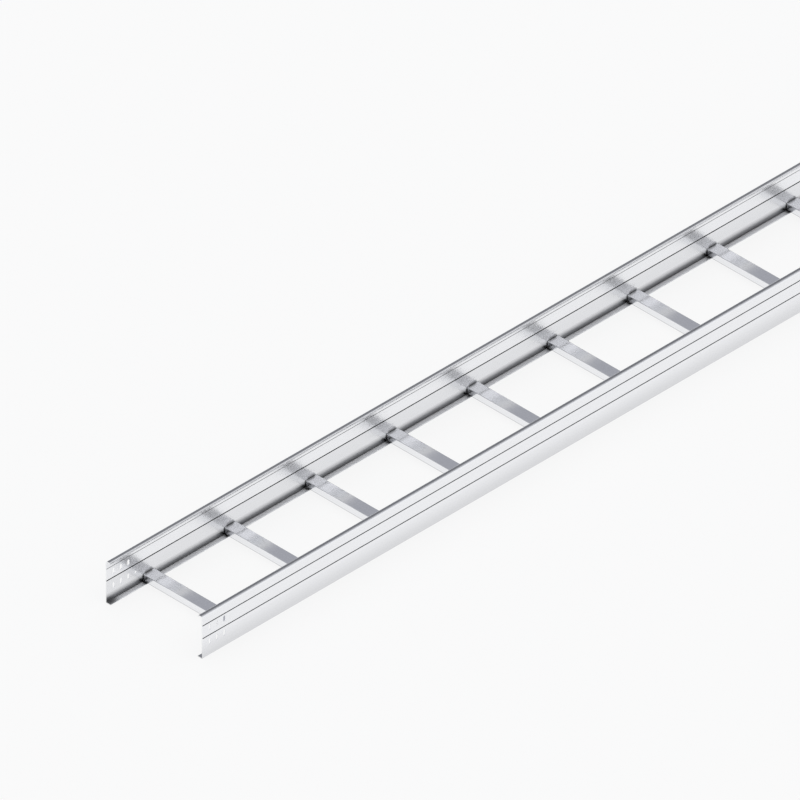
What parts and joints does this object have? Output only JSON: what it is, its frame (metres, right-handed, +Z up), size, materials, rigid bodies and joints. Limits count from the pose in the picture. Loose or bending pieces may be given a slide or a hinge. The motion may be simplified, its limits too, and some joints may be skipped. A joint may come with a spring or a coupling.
{
  "type": "cable ladder section",
  "caption": "Straight aluminium cable ladder section: grooved channel side rails with slotted ends, joined by flat rectangular rungs that carry the cables.",
  "frame": {"origin": "on the floor under the middle of the section's overall box", "axes": "+X along the rails, +Y towards the left rail, +Z up"},
  "size_m": [3, 0.4, 0.15],
  "materials": {
    "rail_aluminium": "satin mill finish",
    "rung_aluminium": "satin mill finish"
  },
  "bodies": {
    "root": {"side_rail_left": "rail_aluminium", "side_rail_right": "rail_aluminium", "rung_01": "rung_aluminium", "rung_02": "rung_aluminium", "rung_03": "rung_aluminium", "rung_04": "rung_aluminium", "rung_05": "rung_aluminium", "rung_06": "rung_aluminium", "rung_07": "rung_aluminium", "rung_08": "rung_aluminium", "rung_09": "rung_aluminium"}
  },
  "joints": []
}
